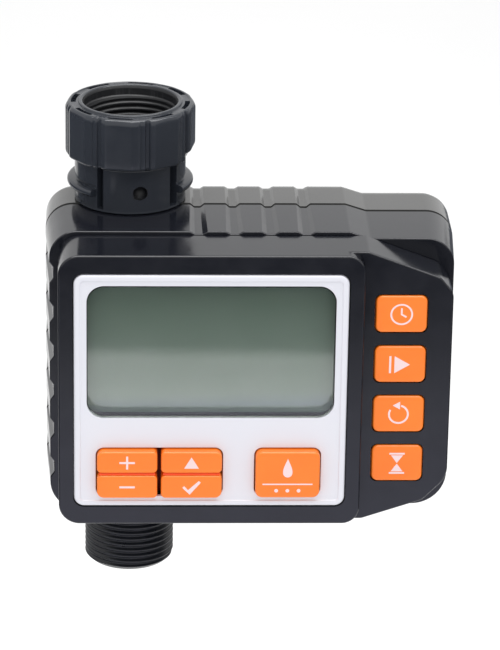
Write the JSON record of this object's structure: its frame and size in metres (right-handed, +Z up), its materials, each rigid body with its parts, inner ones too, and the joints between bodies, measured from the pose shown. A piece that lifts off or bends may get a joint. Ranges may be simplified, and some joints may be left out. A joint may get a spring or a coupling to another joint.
{
  "type": "drip irrigation timer",
  "caption": "Battery tap timer for drip irrigation: swivel nut inlet, threaded outlet, black casing with a display window, orange push buttons and a motor-driven ball valve.",
  "frame": {"origin": "on the water axis, at the start of the swivel nut's bore, 0.9 mm below its rim", "axes": "+Z up the water axis towards the tap, +X to the right of the front face, +Y to the back"},
  "size_m": [0.1178, 0.068, 0.1437],
  "materials": {
    "casing_black": "fine satin moulded finish",
    "fitting_black": "semi-gloss moulded finish",
    "bezel_white": "satin white with a cool tint",
    "button_orange": "soft satin orange",
    "lens_clear": "clear polished window",
    "display_grey": "grey green liquid crystal panel",
    "frame_black": "plain matt",
    "board_green": "solder mask green",
    "rubber_grey": "soft silicone",
    "seal_black": "soft sealing rubber",
    "seat_white": "low-friction plastic",
    "gear_white": "natural acetal",
    "ball_chrome": "polished plating",
    "steel": "plain bright steel",
    "battery_wrap": "plain blue sleeve"
  },
  "bodies": {
    "casing": {"front_casing": "casing_black", "rear_casing": "casing_black", "left_casing_gasket": "seal_black", "right_casing_gasket": "seal_black", "display_bezel": "bezel_white", "display_lens": "lens_clear", "display_frame": "frame_black", "display_panel": "display_grey", "circuit_board": "board_green", "keypad_mat": "rubber_grey", "side_keypad_mat": "rubber_grey", "neck_collar": "fitting_black", "valve_body": "fitting_black", "outlet_fitting": "fitting_black", "inlet_washer": "seal_black", "inlet_filter": "frame_black", "upper_valve_seat": "seat_white", "lower_valve_seat": "seat_white", "outlet_washer": "seal_black", "stem_seal": "seal_black", "seal_retainer": "seat_white", "gear_bracket": "gear_white", "idler_pin": "steel", "motor": "steel", "battery_box": "frame_black", "battery_a": "battery_wrap", "battery_b": "battery_wrap", "contact_spring_a": "steel", "contact_spring_b": "steel", "contact_plate_a": "steel", "contact_plate_b": "steel", "battery_gasket": "seal_black", "casing_screw_1": "steel", "casing_screw_2": "steel", "casing_screw_3": "steel", "casing_screw_4": "steel", "casing_screw_5": "steel", "casing_screw_6": "steel"},
    "swivel_nut": {"swivel_nut": "fitting_black"},
    "plus_button": {"plus_button": "button_orange"},
    "minus_button": {"minus_button": "button_orange"},
    "up_button": {"up_button": "button_orange"},
    "ok_button": {"ok_button": "button_orange"},
    "program_button": {"program_button": "button_orange"},
    "set_clock_button": {"set_clock_button": "button_orange"},
    "start_time_button": {"start_time_button": "button_orange"},
    "how_often_button": {"how_often_button": "button_orange"},
    "how_long_button": {"how_long_button": "button_orange"},
    "valve_rotor": {"valve_ball": "ball_chrome", "valve_stem": "steel", "output_gear": "gear_white"},
    "idler_gear": {"idler_gear": "gear_white"},
    "motor_pinion": {"motor_pinion": "gear_white"},
    "battery_cover": {"battery_cover": "casing_black"},
    "cover_screw": {"cover_screw": "steel"}
  },
  "joints": [
    {"name": "nut_swivel", "type": "hinge", "parent": "casing", "child": "swivel_nut", "pos_m": [0, 0, -0.0074], "axis": [0, 0, 1], "continuous": true},
    {"name": "plus_press", "type": "slide", "parent": "casing", "child": "plus_button", "axis": [0, 1, 0], "range_m": [0, 0.0008], "stiffness_N_per_m": 600},
    {"name": "minus_press", "type": "slide", "parent": "casing", "child": "minus_button", "axis": [0, 1, 0], "range_m": [0, 0.0008], "stiffness_N_per_m": 600},
    {"name": "up_press", "type": "slide", "parent": "casing", "child": "up_button", "axis": [0, 1, 0], "range_m": [0, 0.0008], "stiffness_N_per_m": 600},
    {"name": "ok_press", "type": "slide", "parent": "casing", "child": "ok_button", "axis": [0, 1, 0], "range_m": [0, 0.0008], "stiffness_N_per_m": 600},
    {"name": "program_press", "type": "slide", "parent": "casing", "child": "program_button", "axis": [0, 1, 0], "range_m": [0, 0.0008], "stiffness_N_per_m": 600},
    {"name": "set_clock_press", "type": "slide", "parent": "casing", "child": "set_clock_button", "axis": [0, 1, 0], "range_m": [0, 0.0008], "stiffness_N_per_m": 600},
    {"name": "start_time_press", "type": "slide", "parent": "casing", "child": "start_time_button", "axis": [0, 1, 0], "range_m": [0, 0.0008], "stiffness_N_per_m": 600},
    {"name": "how_often_press", "type": "slide", "parent": "casing", "child": "how_often_button", "axis": [0, 1, 0], "range_m": [0, 0.0008], "stiffness_N_per_m": 600},
    {"name": "how_long_press", "type": "slide", "parent": "casing", "child": "how_long_button", "axis": [0, 1, 0], "range_m": [0, 0.0008], "stiffness_N_per_m": 600},
    {"name": "valve_turn", "type": "hinge", "parent": "casing", "child": "valve_rotor", "pos_m": [0, 0, -0.071], "axis": [1, 0, 0], "range_deg": [0, 90]},
    {"name": "idler_turn", "type": "hinge", "parent": "casing", "child": "idler_gear", "pos_m": [0, -0.004, -0.08546], "axis": [1, 0, 0], "range_deg": [-366, 0]},
    {"name": "pinion_turn", "type": "hinge", "parent": "casing", "child": "motor_pinion", "pos_m": [0, -0.012, -0.0944], "axis": [1, 0, 0], "range_deg": [0, 1464]},
    {"name": "battery_cover_lift", "type": "slide", "parent": "casing", "child": "battery_cover", "axis": [0, 1, 0], "range_m": [0, 0.03]},
    {"name": "cover_screw_turn", "type": "hinge", "parent": "battery_cover", "child": "cover_screw", "pos_m": [0.064, 0.0175, -0.1036], "axis": [0, 1, 0], "continuous": true}
  ],
  "couplings": [
    {"joint": "idler_turn", "follows": "valve_turn", "ratio": -4},
    {"joint": "pinion_turn", "follows": "valve_turn", "ratio": 16}
  ]
}
